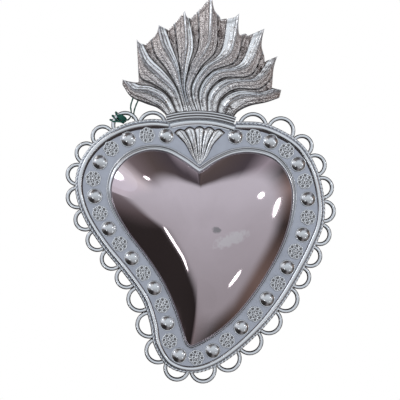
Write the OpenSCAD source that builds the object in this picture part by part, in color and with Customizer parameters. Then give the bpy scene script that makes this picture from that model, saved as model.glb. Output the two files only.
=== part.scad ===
// Heart-shaped ex-voto with a mirror dome, a studded border and a crest of flames.
// It hangs on a wall: the wall is the plane y = 0, the face looks towards -Y, and +Z is up.
// The pieces are drawn flat, with x to the right, y up and z out of the wall, and then stood up.

/* [Heart] */
// Width of the heart over its rim
heart_w = 123; // [118:1:130]
// Height of the heart from its foot to the collar
heart_h = 124.5; // [120:0.5:132]
// Depth of the hollow body, from the wall to the face of the border
body_d = 6.4; // [6:0.2:10]
// Thickness of the sheet that the body and the crest are made of
sheet_t = 0.8; // [0.5:0.1:1]
// Clearance between pieces that are soldered together
solder_gap = 0.05; // [0.02:0.01:0.1]

/* [Dome] */
// Height of the dome over the border
dome_rise = 20; // [14:1:26]
// Width of the ledge inside the border that the dome stands on
ledge_w = 1.6; // [1.2:0.1:2.4]
// Width of the bezel round the cleft and the lobes
bezel_w = 2.6; // [1.8:0.1:3]
// Width of the bezel down the flanks
bezel_flank_w = 1; // [0.8:0.1:1.6]
// Height of the bezel over the border
bezel_h = 1.3; // [0.8:0.1:2]

/* [Border] */
// Diameter of a domed stud over its collar
stud_d = 7.8; // [7:0.1:8.2]
// Height of a stud over the border
stud_h = 2.8; // [2:0.1:4]
// Diameter of a rosette
rosette_d = 8.2; // [7.4:0.1:8.4]
// Height of a rosette's petals over the border
rosette_h = 1.5; // [1.2:0.1:2.4]
// Least gap between a stud and the rosette beside it
row_gap = 0.85; // [0.5:0.05:1.5]

/* [Rim] */
// Width of the half-round roll on the edge of the border
roll_w = 2; // [1.6:0.1:2.2]
// Height of the roll over the border
roll_h = 1.4; // [1:0.1:2]
// Thickness of the twisted wire outside the roll
rope_d = 1.5; // [1.1:0.1:1.7]

/* [Scallops] */
// Number of scallop loops round the heart
loop_n = 28; // [26:1:30]
// Width of the strip that joins the loops along the wall of the heart
strip_w = 1.7; // [1.5:0.1:2]
// Width of a loop's wire
loop_wire_w = 2; // [1.6:0.1:2.4]
// Thickness of the scalloped strip
gallery_t = 1.6; // [1.2:0.1:2]
// Height of the rounded upper part of a loop's wire
loop_crown_h = 0.6; // [0.4:0.1:0.8]

/* [Collar and fan] */
// Radius that the collar is bent to, at the top of its lower bead
collar_r = 54; // [50:0.5:60]
// Width of the collar's upper band
collar_band_w = 4; // [3.6:0.1:5]
// Height of the collar's upper band over the crest's sheet
collar_band_h = 3; // [2.6:0.1:4]
// Width of the collar's lower bead
collar_bead_w = 1.6; // [1.2:0.1:2]
// Width of the groove between the band and the bead
collar_groove_w = 1.2; // [0.8:0.1:1.6]
// Height of the fan over the border
fan_h = 1.7; // [1.2:0.1:2.4]
// Gap between the fan's scalloped edge and the collar's lower bead
fan_gap = 0.7; // [0.6:0.05:3]
// Width of the fan over its outermost flutes
fan_w = 25.6; // [22:0.1:27]
// Number of flutes in the fan
fan_n = 5; // [4:1:7]

/* [Flames] */
// Width of the crest over its outermost tongues
crest_w = 79.5; // [72:0.5:86]
// Height of the crest over the collar
crest_h = 60.5; // [54:0.5:66]
// Height of the tongues' ridges over the crest's backing sheet
ridge_h = 4; // [2.5:0.1:5]
// Height of the creases between the tongues over the backing sheet
crease_h = 1; // [0.8:0.1:1.4]

/* [Hanger] */
// Thickness of the hanging ring's wire
ring_wire_d = 1.8; // [1.4:0.1:2]
// Width of the opening of the hanging ring, between the middles of its round ends
ring_bar_l = 7; // [6:0.5:10]
// Height of the hanging ring between the middles of its wires
ring_h = 9; // [7:0.5:12]
// Clearance of the ring's bar in its knuckle
ring_play = 0.1; // [0.05:0.05:0.2]
// Gap between the middle of the ring's bar and the crest's sheet
ring_stand_off = 2.8; // [2.6:0.1:3.2]
// Length of the strap's plate on the crest
strap_l = 10; // [8:0.5:14]

/* [Thread] */
// Thickness of the thread
thread_d = 0.8; // [0.6:0.1:1]
// Turns of the thread's knot round the scallop's wire
knot_turns = 3; // [2:1:3]

/* [Hidden] */
$fn = 48;

// Colours of the finish
plate_c = "silver";
ground_c = "lightslategray";
mirror_c = "gainsboro";
thread_c = "darkgreen";

// Outline of the rim on a heart 100 wide and 100 high, from the collar's right end round to its left end
rim_shape = [[14.6, 49.2], [26.8, 48.2], [39.8, 41.2], [46.6, 31], [49.6, 18.6], [49.2, 9], [46, 0.6],
    [40.9, -9.4], [34.1, -20.7], [26, -31.1], [16.3, -40.4], [6.5, -47.2], [-3.3, -50], [-12.2, -47.6],
    [-17.5, -40], [-19.2, -31.1], [-22.6, -21.1], [-29.8, -10.8], [-39, 0.4], [-46.3, 11.8],
    [-49.8, 23.5], [-47.6, 34], [-40.7, 42.6], [-30.9, 48], [-21.1, 50], [-12.6, 49.6]];
// Outline of the dome's bezel on the same heart, from the cleft down the right side and back to the cleft
dome_shape = [[-0.2, 32.4], [5.7, 36.2], [13, 39.2], [21.1, 39.9], [29.7, 37.7], [35.8, 32.2], [39, 24],
    [38.8, 15], [36, 4.4], [30.6, -7], [23.2, -18.7], [15, -28.7], [6.5, -35.9], [-0.8, -40],
    [-4.1, -40.8], [-6.3, -38.8], [-8.1, -33.5], [-11.2, -24.3], [-15.9, -14.3], [-22.8, -4],
    [-30.9, 6.2], [-36.4, 15.5], [-38, 23.9], [-35.4, 32.1], [-29.3, 38], [-21.1, 40.8],
    [-13, 40], [-5.9, 36.4]];
// Middle of the dome on the same heart
dome_middle = [0, 9];
// How much further inside the rim the row of studs lies, in mm, at shares of the rim's length
row_slack = [[0, 0.1], [0.07, 0], [0.12, 0], [0.2, 0.8], [0.3, 0.1], [0.42, 0.6], [0.52, 0], [0.6, 1],
    [0.68, 0.4], [0.76, 0.5], [0.8, 1.5], [0.87, 1.2], [0.91, 0.3], [1, 0.3]];
// Where the studs and rosettes stand: share of their number, and share of the row's length
row_stations = [[0, 0.001], [0.12, 0.118], [0.32, 0.3155], [0.44, 0.4402], [0.59, 0.585], [0.765, 0.7627],
    [0.91, 0.9025], [1, 0.997]];
// Where the feet of the loops stand: share of the loops, and share of the rim's length
loop_stations = [[0, 0.004], [0.07, 0.083], [0.32, 0.312], [0.64, 0.655], [0.93, 0.92], [1, 0.996]];

// The crest is drawn 100 wide and 100 high over the middle of the collar.
// Ridge of each tongue from the collar to the tip, from the left to the right
tongue_ridges = [
    [[-16.4, 0.8], [-23.3, 14], [-32.7, 20.7], [-42.1, 22.7], [-48.4, 31.4]],
    [[-10.7, 1.2], [-16.4, 21.5], [-26.4, 33.9], [-35.2, 46.3], [-39.6, 64.5]],
    [[-7.6, 1.6], [-11.9, 24.8], [-15.7, 43], [-22.6, 59.5], [-25.8, 76]],
    [[-5, 2], [-10.1, 23.1], [-10.1, 43], [-8.2, 62.8], [-9.4, 87.6]],
    [[-2.5, 2], [-7.9, 23.1], [-2.5, 43], [5.7, 62.8], [7.5, 100]],
    [[0, 2], [-3.1, 23.1], [5, 40.5], [18.9, 54.5], [24.5, 85.5]],
    [[2.5, 2], [1.9, 21.5], [10.7, 36.4], [29.6, 43], [40.3, 73.1]],
    [[6.9, 1.6], [8.8, 18.2], [19.5, 28.9], [37.1, 32.2], [48.4, 50.4]],
    [[13.8, 0.4], [17.6, 10.7], [26.4, 17.4], [39, 18.2], [50.9, 22.8]]];
// Bottom of the notch between each two tongues
tongue_notches = [[-38.4, 28.1], [-34.3, 60], [-19.8, 72.5], [-6, 81.5], [13.2, 81], [29.9, 67.5],
    [40.6, 46.4], [45, 24.8]];
// Lower edges of the crest on the left and on the right
crest_left_edge = [[-19.5, 0], [-26.4, 7.9], [-34.6, 12], [-43.4, 17.4], [-48.7, 27.3]];
crest_right_edge = [[20.1, -1.7], [23.9, 5], [31.4, 9.9], [41.5, 12.8], [49.7, 16.5]];

// Height of the tongues' ridges from the root to the tip, as shares of ridge_h, and of the creases
ridge_rise = [[0, 0.2], [0.09, 0.34], [0.25, 0.9], [0.5, 1], [0.8, 0.75], [1, 0.3]];
crease_rise = [[0, 0.7], [0.2, 1], [0.8, 1], [1, 0.8]];

// The loop that the thread is tied to, counted from the collar's right end, and the turns' first angle on it
knot_loop = 26;
knot_start = 165;
// Least gap between the turns of the knot
knot_gap = 0.45;
// Route of the thread's middle, as x, height and distance from the wall: its loose end before the knot
thread_tail = [[-38, 62.6, 3.2], [-38.9, 62.4, 4.3], [-40.4, 62.5, 4.9]];
// and from the knot up behind the crest, over its highest point and down into the scallop again
thread_route = [
    [-39.8, 65.6, 1], [-38.9, 64.3, 1.1], [-37.6, 63.6, 1.2], [-36.3, 63.8, 1.2], [-35.4, 64.8, 1.2],
    [-34.8, 66.1, 1.2], [-34.7, 67.5, 1.3], [-34.9, 68.8, 1.6], [-35, 70, 2.6], [-34.7, 71.5, 3.7],
    [-34, 73.3, 4.6], [-33.3, 75.2, 5.3], [-32.5, 77.2, 5.7], [-31.8, 79.2, 5.8], [-31, 81.2, 5.8],
    [-30.1, 83.1, 5.8], [-28.9, 84.8, 5.8], [-27.2, 85.6, 5.8], [-25.8, 84.6, 5.8], [-25.6, 82.7, 5.8],
    [-26.4, 80.8, 5.8], [-27.4, 79, 5.8], [-28.6, 77.2, 5.7], [-29.8, 75.4, 5.3], [-30.9, 73.6, 4.7],
    [-31.8, 71.8, 3.9], [-32.6, 70.1, 2.9], [-33.2, 68.5, 1.8], [-33.5, 67, 1.3], [-33.8, 65.5, 1.25],
    [-34.3, 64.4, 1.3]];

// Steps of the surfaces and the curves
curve_steps = 12;
rim_steps = 112;
dome_steps = 96;
dome_rings = 10;
lining_rings = 5;
roll_sides = 6;
wire_sides = 8;
turn_steps = 24;
flow_steps = 4;
columns_a_gap = 3;
flute_columns = 6;
fan_rows = 9;
tab_steps = 12;

// Forms of the dome: how flat its top is, how soon its cleft fades, and the smallest ring at its top
dome_flatness = 2.8;
cleft_fade = 3;
dome_eye = 0.02;
blur_span = 9;
// How late each crease of the crest turns to its notch
notch_draw = 4;

// Levels over the wall
wall_top = body_d - sheet_t;
front_level = body_d + sheet_t;
gallery_level = wall_top - rope_d - gallery_t - loop_crown_h - solder_gap;
gallery_top = gallery_level + gallery_t + loop_crown_h;
ring_level = body_d - ring_stand_off;

// Point at share t between b and c on a smooth line through a, b, c and d
function between(a, b, c, d, t) = 0.5 * (2 * b + (c - a) * t + (2 * a - 5 * b + 4 * c - d) * t * t
    + (3 * b - a - 3 * c + d) * t * t * t);
// Smooth line through the points p with n steps between each two
function smooth(p, n) =
    let (last = len(p) - 1, q = concat([2 * p[0] - p[1]], p, [2 * p[last] - p[last - 1]]))
    concat([for (i = [0:last - 1], k = [0:n - 1]) between(q[i], q[i + 1], q[i + 2], q[i + 3], k / n)],
        [p[last]]);
// Length of the line p up to each of its points
function run(p) = [for (i = 0, s = 0; i < len(p);
    s = s + (i + 1 < len(p) ? norm(p[i + 1] - p[i]) : 0), i = i + 1) s];
// Points of the line p at the given shares of its length
function spots(p, shares) =
    let (s = run(p), total = s[len(s) - 1],
        tables = [for (axis = [0:len(p[0]) - 1]) [for (i = [0:len(p) - 1]) [s[i], p[i][axis]]]])
    [for (share = shares) [for (table = tables) lookup(total * share, table)]];
// The line p with n steps of the same length
function even(p, n) = spots(p, [for (k = [0:n]) k / n]);
function mix(a, b, t) = a + (b - a) * t;
function polar(r, angle) = r * [cos(angle), sin(angle)];
// Normal of the edge from a to b, on its left
function edge_normal(a, b) = let (t = (b - a) / norm(b - a)) [-t.y, t.x];
// How far the corner b moves when both its edges move 1 to the left
function corner_shift(a, b, c) = let (m = edge_normal(a, b), n = edge_normal(b, c)) (m + n) / (1 + m * n);
// How far each point of the open line p moves when the line moves 1 to its left
function shifts(p) = let (last = len(p) - 1) [for (i = [0:last]) i == 0 ? edge_normal(p[0], p[1])
    : i == last ? edge_normal(p[last - 1], p[last]) : corner_shift(p[i - 1], p[i], p[i + 1])];
// The open line p moved by d to its left
function beside(p, d) = p + d * shifts(p);
// The same for the points of the closed line p
function loop_shifts(p) = let (n = len(p)) [for (i = [0:n - 1])
    corner_shift(p[(i + n - 1) % n], p[i], p[(i + 1) % n])];
// The closed line p moved inwards by d, or by d[i] at each point
function inside(p, d) = let (shift = loop_shifts(p)) [for (i = [0:len(p) - 1])
    p[i] - (is_list(d) ? d[i] : d) * shift[i]];
function reversed(p) = [for (i = [len(p) - 1:-1:0]) p[i]];
function at_level(p, z) = [for (v = p) [v.x, v.y, z]];
// Half ring between two radii and two angles
function sector(r_in, r_out, from, to, n) = concat([for (k = [0:n]) polar(r_in, mix(from, to, k / n))],
    [for (k = [n:-1:0]) polar(r_out, mix(from, to, k / n))]);

// The two drawings at their real size
drawing_w = 100;
crest_lift = 2;
crest_y = heart_h / 2 + crest_lift;
function on_heart(p) = [p.x * heart_w / drawing_w, p.y * heart_h / drawing_w];
function on_crest(p) = [p.x * crest_w / drawing_w, crest_y + p.y * crest_h / drawing_w];

// Rim of the heart, clockwise from the collar's right end to its left end, and the lines beside it
rim_line = even(smooth([for (p = rim_shape) on_heart(p)], curve_steps), rim_steps);
strip_line = beside(rim_line, strip_w);
roll_margin = 0.15;
roll_line = beside(rim_line, -roll_margin - roll_w / 2);
rope_line = beside(rim_line, solder_gap + rope_d / 2);

// Outline of the dome's bezel, clockwise from the cleft, and the lines inside it
dome_loop = even(smooth([for (p = concat(dome_shape, [dome_shape[0]])) on_heart(p)], curve_steps),
    dome_steps);
dome_line = [for (i = [0:dome_steps - 1]) dome_loop[i]];
bezel_widths = [for (i = [0:dome_steps - 1]) lookup(i / dome_steps, [[0, bezel_w], [0.12, bezel_w],
    [0.3, bezel_flank_w], [0.7, bezel_flank_w], [0.85, bezel_w], [1, bezel_w]])];
dome_foot = inside(dome_line, [for (w = bezel_widths) w + solder_gap]);
dome_lining = inside(dome_line, [for (w = bezel_widths) w + solder_gap + sheet_t]);
dome_hole = inside(dome_line, [for (w = bezel_widths) w + ledge_w]);

// Row of studs and rosettes: studs stand first and last
row_depth = roll_margin + roll_w + rosette_d / 2;
rim_shift = shifts(rim_line);
row_line = [for (k = [0:rim_steps])
    rim_line[k] - (row_depth + lookup(k / rim_steps, row_slack)) * rim_shift[k]];
row_run = run(row_line);
row_tightness = min([for (k = [1:len(row_stations) - 1])
    let (step = row_stations[k] - row_stations[k - 1]) step.y / step.x]);
row_pairs = floor(row_run[rim_steps] * row_tightness / ((stud_d + rosette_d) / 2 + row_gap) / 2);
row_places = spots(row_line, [for (k = [0:2 * row_pairs]) lookup(k / (2 * row_pairs), row_stations)]);

// Scallop loops: their feet on the strip, and each one's middle and radius, flatter beside the collar
loop_feet = spots(strip_line, [for (i = [0:loop_n]) lookup(i / loop_n, loop_stations)]);
loop_lap = 0.1;
loop_flatness = [[0, 0.73], [1, 1], [loop_n - 2, 1], [loop_n - 1, 0.68]];
loops = [for (i = [0:loop_n - 1])
    let (a = loop_feet[i], b = loop_feet[i + 1], half = norm(b - a) / 2,
        rise = half * lookup(i, loop_flatness), r = (half * half + rise * rise) / (2 * rise))
    [(a + b) / 2 - (r - rise) * edge_normal(a, b), r + loop_lap]];

// Collar: where it is bent about, under the crest's foot, and its radii and levels
collar_x = -1.5;
collar_drop = 1.75;
collar_top = crest_y - collar_drop;
collar_middle = [collar_x, collar_top - collar_r];
band_r = collar_r + collar_groove_w;
band_foot_w = 1.4;
band_line_d = 0.8;
lip_share = 0.09;
lip_level = ridge_h * lookup(lip_share, ridge_rise) + solder_gap;
tab_lap_in = 0.4;
tab_lap_out = 0.8;
tab_r = [collar_r - collar_bead_w - tab_lap_in, band_r + collar_band_w + tab_lap_out];
// How far each of its pieces reaches to the right and to the left, and the angles of these ends
bead_reach = [17.94, -12.42];
band_reach = [18.24, -14.66];
tab_reach = [16.69, -12.7];
function collar_ends(reach, r) = [for (x = reach) acos(x / r)];
bead_ends = collar_ends(bead_reach, collar_r);
band_ends = collar_ends(band_reach, band_r);
tab_ends = collar_ends(tab_reach, collar_r);

// Crest: its flow lines from the roots to the tips, each crease led to the notch between two tongues
flows = [for (p = tongue_ridges) smooth([for (v = p) on_crest(v)], flow_steps)];
flow_last = len(flows[0]) - 1;
notches = [for (p = tongue_notches) on_crest(p)];
creases = [for (k = [0:len(notches) - 1])
    let (error = notches[k] - (flows[k][flow_last] + flows[k + 1][flow_last]) / 2)
    [for (i = [0:flow_last]) (flows[k][i] + flows[k + 1][i]) / 2 + error * pow(i / flow_last, notch_draw)]];
crest_left = smooth([for (p = crest_left_edge) on_crest(p)], flow_steps);
crest_right = smooth([for (p = crest_right_edge) on_crest(p)], flow_steps);
crest_tops = concat([for (k = [0:len(notches) - 1]) each [flows[k][flow_last], notches[k]]],
    [flows[len(notches)][flow_last]]);
crest_outline = concat(crest_left, crest_tops, reversed(crest_right));
// The lines across the crest, each with whether it is a ridge
flow_lines = concat([[crest_left, 0]],
    [for (k = [0:len(notches) - 1]) each [[flows[k], 1], [creases[k], 0]]],
    [[flows[len(notches)], 1], [crest_right, 0]]);

// Fan: its point over the cleft, its length, and the shape of its flutes
fan_lift = 0.91;
fan_point = on_heart(dome_shape[0]) + [0, fan_lift];
fan_l = collar_top - collar_bead_w - fan_gap - fan_point.y;
// Half of its width as shares of fan_w, from its point to its scalloped edge, and how far that edge hangs
fan_spread = [[0, 0.025], [0.12, 0.1], [0.24, 0.155], [0.37, 0.2], [0.51, 0.245], [0.62, 0.285],
    [0.73, 0.34], [0.87, 0.42], [1, 0.5]];
fan_sag = 2.2;
fan_scallop = 1.2;
fan_edge_h = 0.5;

// Hanger: where its ring turns, from the crest's foot
hanger_lift = 28;
hanger_point = [1, crest_y + hanger_lift];
strap_w = ring_bar_l - 1;
knuckle_wall = 0.7;

// Knot: the thread's turns round the wire of one loop, from its front to its back
knot_r = norm([loop_wire_w, gallery_t + loop_crown_h]) / 2 + solder_gap + thread_d / 2;
knot_wire_r = loops[knot_loop][1] - loop_wire_w / 2;
knot_step = (thread_d + knot_gap) / (knot_wire_r - knot_r) * 180 / PI;
knot_line = [for (k = [0:(knot_turns - 0.5) * turn_steps])
    let (turn = 90 - 360 * k / turn_steps, angle = knot_start - knot_step * k / turn_steps,
        spot = loops[knot_loop][0] + polar(knot_wire_r + knot_r * cos(turn), angle))
    [spot.x, spot.y, (gallery_level + gallery_top) / 2 + knot_r * sin(turn)]];

// Least gap of the knot to itself, between points at least half a turn apart
knot_last = len(knot_line) - 1;
knot_least_gap = min([for (i = [0:knot_last], j = [i + turn_steps / 2:knot_last])
    norm(knot_line[j] - knot_line[i]) - thread_d]);
echo("Least gap between the turns of the knot, in mm", knot_least_gap);

// Closed skin over rings of points that run anticlockwise, seen from the last ring
module skin(rings, closed = false) {
    n = len(rings);
    m = len(rings[0]);
    bands = closed ? n : n - 1;
    sides = [for (i = [0:bands - 1], j = [0:m - 1])
        let (a = i * m, b = ((i + 1) % n) * m, k = (j + 1) % m)
        each [[a + j, b + j, b + k], [a + j, b + k, a + k]]];
    ends = closed ? [] : [[for (j = [0:m - 1]) j], [for (j = [m - 1:-1:0]) (n - 1) * m + j]];
    polyhedron([for (ring = rings) each ring], concat(sides, ends));
}

// Solid between a grid of points and a flat base. The grid's rows run from the left to the right, and the
// first one is the lowest. The base has a point under each stride-th column; those between lie in line.
module relief(grid, base, stride = 1) {
    rows = len(grid);
    columns = len(grid[0]);
    gaps = (columns - 1) / stride;
    tops = [for (row = grid) each row];
    lows = [for (row = grid, j = [0:gaps]) [row[j * stride].x, row[j * stride].y, base]];
    function low(top) = len(tops) + floor(top / columns) * (gaps + 1) + top % columns / stride;
    face = [for (i = [0:rows - 2], j = [0:columns - 2])
        let (a = i * columns + j, b = a + columns)
        each [[a, b, b + 1], [a, b + 1, a + 1]]];
    floor_face = [for (i = [0:rows - 2], j = [0:gaps - 1])
        let (a = len(tops) + i * (gaps + 1) + j, b = a + gaps + 1)
        each [[a, b + 1, b], [a, a + 1, b + 1]]];
    front = [for (j = [0:gaps - 1]) [for (k = [0:stride]) j * stride + k]];
    right = [for (i = [1:rows - 1]) [i * columns - 1, (i + 1) * columns - 1]];
    back = [for (j = [gaps - 1:-1:0]) [for (k = [stride:-1:0]) (rows - 1) * columns + j * stride + k]];
    left = [for (i = [rows - 1:-1:1]) [i * columns, (i - 1) * columns]];
    walls = [for (edge = concat(front, right, back, left))
        let (last = len(edge) - 1, a = low(edge[0]), b = low(edge[last]))
        each concat([for (k = [0:last - 1]) [edge[k], edge[k + 1], a]], [[edge[last], b, a]])];
    polyhedron(concat(tops, lows), concat(face, floor_face, walls));
}

// Round wire along points in space, never straight away from the wall
module wire(path, d) {
    last = len(path) - 1;
    skin([for (i = [0:last])
        let (ahead = path[min(i + 1, last)] - path[max(i - 1, 0)], t = ahead / norm(ahead),
            side = cross(t, [0, 0, 1]) / norm(cross(t, [0, 0, 1])), up = cross(t, side))
        [for (k = [0:wire_sides - 1])
            let (angle = 360 * k / wire_sides) path[i] + d / 2 * (cos(angle) * side + sin(angle) * up)]]);
}

// Plate with the given outline between two levels
module plate(outline, low, high) {
    translate([0, 0, low])
        linear_extrude(high - low)
            polygon(outline);
}

module upright() {
    rotate([90, 0, 0])
        children();
}

// Flat back of the hollow heart
module back_plate() {
    color(plate_c)
        upright()
            plate(rim_line, 0, sheet_t);
}

// Wall of sheet on edge that joins the back to the border
module side_wall() {
    color(plate_c)
        upright()
            difference() {
                plate(rim_line, sheet_t, wall_top);
                plate(inside(rim_line, sheet_t), 0, body_d);
            }
}

// Front plate with the opening that the dome covers
module border_plate() {
    color(ground_c)
        upright()
            difference() {
                plate(rim_line, wall_top, body_d);
                plate(dome_hole, 0, body_d + sheet_t);
            }
}

// The closed line p drawn to the mean of the points beside each point
function blurred(p) = let (n = len(p)) [for (i = [0:n - 1])
    [for (axis = [0, 1]) [for (k = [-blur_span:blur_span]) p[(i + k + n) % n][axis]]
        * [for (k = [-blur_span:blur_span]) 1] / (2 * blur_span + 1)]];
// Ring of the dome at the angle a, from 0 at its foot to 90 at its top
function dome_ring(foot, soft, rise, a) =
    let (s = max(cos(a), dome_eye), middle = on_heart(dome_middle))
    [for (i = [0:len(foot) - 1])
        let (p = middle + s * (mix(soft[i], foot[i], pow(s, cleft_fade)) - middle))
        [p.x, p.y, body_d + rise * (1 - pow(s, dome_flatness))]];

// Raised heart of polished sheet, hollow
module dome() {
    soft_foot = blurred(dome_foot);
    soft_lining = blurred(dome_lining);
    color(mirror_c)
        upright()
            skin(concat([for (k = [dome_rings:-1:0])
                    dome_ring(dome_foot, soft_foot, dome_rise, 90 * k / dome_rings)],
                [for (k = [0:lining_rings])
                    dome_ring(dome_lining, soft_lining, dome_rise - sheet_t, 90 * k / lining_rings)]));
}

// Rounded moulding round the dome's foot
module bezel() {
    section = [[0, 0], [0, 0.45], [0.25, 0.9], [0.6, 1], [1, 0.7], [1, 0]];
    shift = loop_shifts(dome_line);
    color(mirror_c)
        upright()
            skin([for (i = [0:dome_steps - 1]) [for (v = section)
                let (p = dome_line[i] - v.x * bezel_widths[i] * shift[i])
                [p.x, p.y, body_d + v.y * bezel_h]]],
                closed = true);
}

// Disc with a raised rounded lip
module lipped_disc(d, t, lip_d, lip_in) {
    cylinder(h = t, r = d / 2);
    translate([0, 0, t])
        rotate_extrude()
            translate([d / 2 - lip_in - lip_d / 2, 0])
                circle(r = lip_d / 2);
}

// Domed stud on its disc
module stud() {
    disc_t = 0.5;
    lip_d = 0.5;
    lip_in = 0.1;
    ball_in = 0.6;
    foot_r = stud_d / 2 - ball_in;
    rise = stud_h - disc_t;
    ball_r = (foot_r * foot_r + rise * rise) / (2 * rise);
    lipped_disc(stud_d, disc_t, lip_d, lip_in);
    intersection() {
        translate([0, 0, stud_h - ball_r])
            sphere(r = ball_r);
        cylinder(h = stud_h + 1, r = stud_d / 2);
    }
}

// Rosette of round petals on its disc
module rosette() {
    disc_t = 0.5;
    lip_d = 0.6;
    lip_in = 0.15;
    petal_n = 8;
    petal_r = 0.95;
    petal_ring_r = rosette_d * 0.3;
    middle_r = 1;
    middle_lift = 0.2;
    lipped_disc(rosette_d, disc_t, lip_d, lip_in);
    for (k = [0:petal_n - 1])
        rotate([0, 0, 360 * k / petal_n])
            translate([petal_ring_r, 0, rosette_h - petal_r])
                sphere(r = petal_r);
    translate([0, 0, rosette_h + middle_lift - middle_r])
        sphere(r = middle_r);
}

// Row of domed studs on the border
module domed_studs() {
    color(plate_c)
        upright()
            for (k = [0:row_pairs])
                translate([row_places[2 * k].x, row_places[2 * k].y, body_d])
                    stud();
}

// Row of rosettes between the studs
module rosettes() {
    color(plate_c)
        upright()
            for (k = [0:row_pairs - 1])
                translate([row_places[2 * k + 1].x, row_places[2 * k + 1].y, body_d])
                    intersection() {
                        rosette();
                        cylinder(h = rosette_h + 1, r = rosette_d);
                    }
}

// Half-round roll on the edge of the border
module rim_roll() {
    shift = shifts(roll_line);
    color(plate_c)
        upright()
            skin([for (i = [0:rim_steps]) [for (k = [0:roll_sides])
                let (angle = 180 * k / roll_sides, p = roll_line[i] + roll_w / 2 * cos(angle) * shift[i])
                [p.x, p.y, body_d + roll_h * sin(angle)]]]);
}

// Wire outside the rim, in the corner over the scallops
module rim_rope() {
    color(plate_c)
        upright()
            wire(at_level(rope_line, wall_top - rope_d / 2), rope_d);
}

// Discs of all the loops, smaller than the loops by the given width
module loop_discs(less) {
    for (spot = loops)
        translate(spot[0])
            circle(r = spot[1] - less);
}

// Scalloped strip that stands out from the wall of the heart
module scallop_gallery() {
    crown_inset = loop_wire_w / 5;
    color(plate_c)
        upright()
            translate([0, 0, gallery_level]) {
                linear_extrude(gallery_t) {
                    difference() {
                        loop_discs(0);
                        loop_discs(loop_wire_w);
                        polygon(rim_line);
                    }
                    polygon(concat(strip_line, reversed(rim_line)));
                }
                translate([0, 0, gallery_t])
                    linear_extrude(loop_crown_h)
                        difference() {
                            loop_discs(crown_inset);
                            loop_discs(loop_wire_w - crown_inset);
                            polygon(strip_line);
                        }
            }
}

// Moulding bent about the collar's middle, between two angles
module bent(ends) {
    translate([collar_middle.x, collar_middle.y, front_level])
        rotate([0, 0, ends[0]])
            rotate_extrude(angle = ends[1] - ends[0])
                children();
}

// Upper band of the collar, with a lip over the roots of the flames
module collar_band() {
    top = collar_band_h - band_line_d / 2;
    color(plate_c)
        upright()
            bent(band_ends) {
                translate([band_r, 0])
                    square([band_foot_w, top]);
                translate([band_r, lip_level])
                    square([collar_band_w, top - lip_level]);
                for (share = [0.18, 0.5, 0.82])
                    translate([band_r + share * collar_band_w, top])
                        circle(r = band_line_d / 2);
            }
}

// Lower bead of the collar
module collar_bead() {
    color(plate_c)
        upright()
            bent(bead_ends)
                intersection() {
                    translate([collar_r - collar_bead_w / 2, 0])
                        circle(r = collar_bead_w / 2);
                    translate([collar_r - collar_bead_w, 0])
                        square([collar_bead_w, collar_bead_w]);
                }
}

// Fan of round flutes between the cleft and the collar
module palmette_fan() {
    columns = fan_n * flute_columns;
    grid = [for (i = [0:fan_rows - 1]) [for (j = [0:columns])
        let (swell = sin(180 * (j % flute_columns) / flute_columns), share = i / (fan_rows - 1),
            across = 2 * j / columns - 1, half = fan_w * lookup(share, fan_spread),
            high = share * (fan_l - fan_sag * across * across - fan_scallop * (1 - swell) * share),
            rise = sin(180 * pow(share, 1.5)) * (1 - share) + share * cos(90 * pow(share, 6)))
        [fan_point.x + half * across, fan_point.y + high,
            body_d + fan_edge_h + (fan_h - fan_edge_h) * swell * rise]]];
    color(plate_c)
        upright()
            relief(grid, body_d);
}

// Backing sheet of the crest, with the tab that joins it to the border
module flame_back() {
    tab = [for (p = sector(tab_r[0], tab_r[1], tab_ends[0], tab_ends[1], tab_steps)) collar_middle + p];
    color(plate_c)
        upright()
            translate([0, 0, body_d])
                linear_extrude(sheet_t) {
                    polygon(crest_outline);
                    polygon(tab);
                }
}

// Embossed front of the crest: nine curling tongues with creases between them
module flame_front() {
    last = len(flow_lines) - 1;
    gaps = [for (g = [0:last - 1], c = [0:columns_a_gap - 1]) [g, c / columns_a_gap]];
    grid = [for (i = [0:flow_last])
        let (share = i / flow_last, high = ridge_h * lookup(share, ridge_rise),
            low = crease_h * lookup(share, crease_rise))
        concat([for (v = gaps)
            let (a = flow_lines[v[0]], b = flow_lines[v[0] + 1], p = mix(a[0][i], b[0][i], v[1]),
                lift = mix(a[1], b[1], (1 - cos(180 * v[1])) / 2))
            [p.x, p.y, front_level + mix(low, high, lift)]],
            [[crest_right[i].x, crest_right[i].y, front_level + low]])];
    color(plate_c)
        upright()
            relief(grid, front_level, columns_a_gap);
}

// Strap on the back of the crest, bent round the bar of the hanging ring
module hanger_strap() {
    knuckle_r = ring_wire_d / 2 + ring_play + knuckle_wall;
    color(plate_c)
        translate([hanger_point.x - strap_w / 2, 0, hanger_point.y])
            rotate([90, 0, 90])
                linear_extrude(strap_w)
                    difference() {
                        union() {
                            translate([-ring_level, 0])
                                circle(r = knuckle_r);
                            translate([-body_d, knuckle_r - sheet_t])
                                square([body_d - ring_level, sheet_t]);
                            translate([-body_d, knuckle_r - sheet_t])
                                square([sheet_t, strap_l]);
                        }
                        translate([-ring_level, 0])
                            circle(r = ring_wire_d / 2 + ring_play);
                    }
}

// Ring to hang the heart by, a long link of round wire
module hanger_ring() {
    bend_r = ring_h / 2;
    wire_r = ring_wire_d / 2;
    color(mirror_c)
        upright()
            translate([hanger_point.x, hanger_point.y - bend_r, ring_level]) {
                for (side = [-1, 1]) {
                    translate([-ring_bar_l / 2, side * bend_r, 0])
                        rotate([0, 90, 0])
                            cylinder(h = ring_bar_l, r = wire_r);
                    translate([side * ring_bar_l / 2, 0, 0])
                        rotate([0, 0, -90 * side])
                            rotate_extrude(angle = 180)
                                translate([bend_r, 0])
                                    circle(r = wire_r);
                }
            }
}

// Green thread, tied to one scallop and looped up behind the crest
module tag_thread() {
    color(thread_c)
        upright()
            wire(concat(thread_tail, knot_line, thread_route), thread_d);
}

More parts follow.
